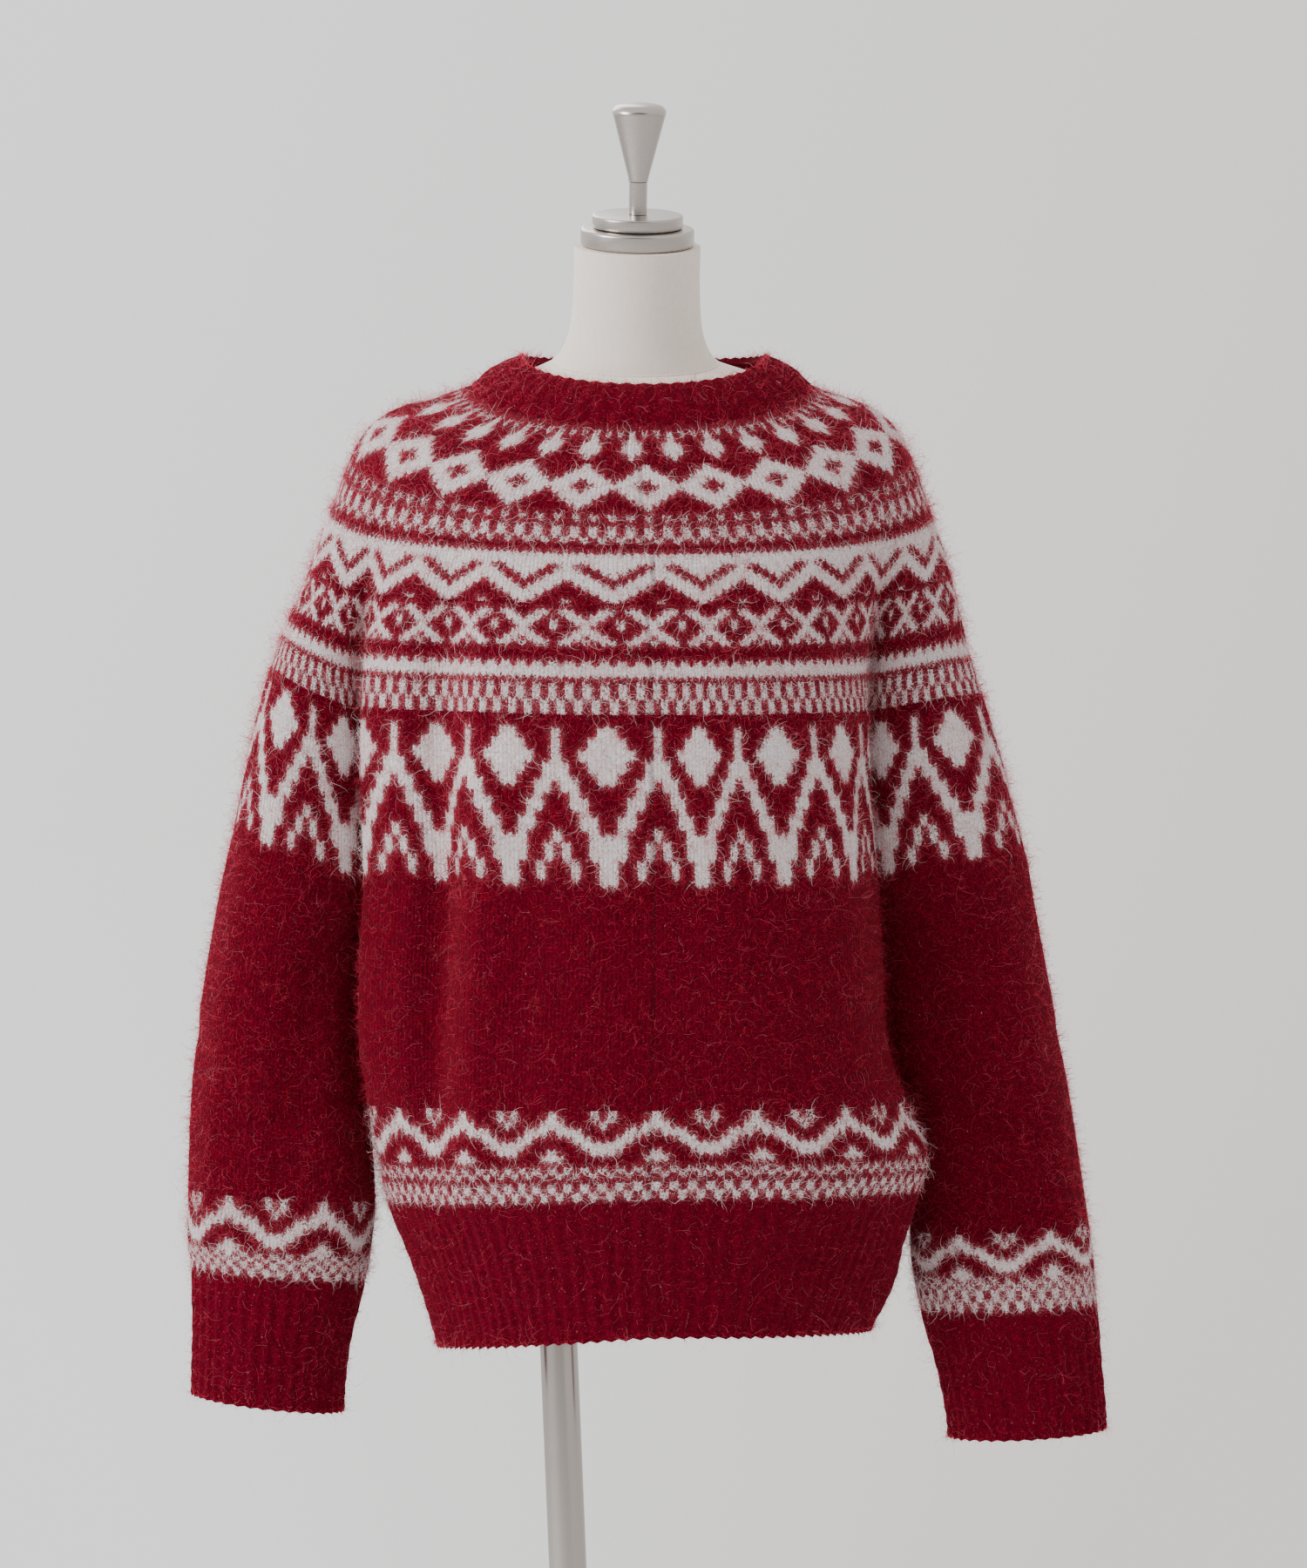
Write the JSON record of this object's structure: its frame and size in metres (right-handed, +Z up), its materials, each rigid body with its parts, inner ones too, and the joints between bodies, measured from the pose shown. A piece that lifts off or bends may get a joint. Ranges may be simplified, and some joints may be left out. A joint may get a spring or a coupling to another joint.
{
  "type": "nordic yoke sweater on a limbless dress form",
  "caption": "Long-sleeved knitted pullover with a round patterned yoke and ribbed edges, worn by a linen dress form on a steel pole and disc base",
  "frame": {"origin": "centre of the base disc's underside, on the floor", "axes": "+Z up, the front of the sweater faces -Y, the wearer's left is +X"},
  "size_m": [0.6095, 0.33, 1.5514],
  "materials": {
    "red_knit": "matte",
    "patterned_knit": "matte",
    "linen_cover": "matte",
    "satin_steel": "satin"
  },
  "bodies": {
    "root": {"neckband": "red_knit", "yoke": "patterned_knit", "body": "red_knit", "hem_rib": "red_knit", "sleeve_left": "red_knit", "cuff_left": "red_knit", "sleeve_right": "red_knit", "cuff_right": "red_knit", "form_torso": "linen_cover", "form_neck": "linen_cover", "cap_lower": "satin_steel", "cap_upper": "satin_steel", "stem": "satin_steel", "finial": "satin_steel", "pole": "satin_steel", "pole_socket": "satin_steel", "base": "satin_steel"}
  },
  "joints": []
}
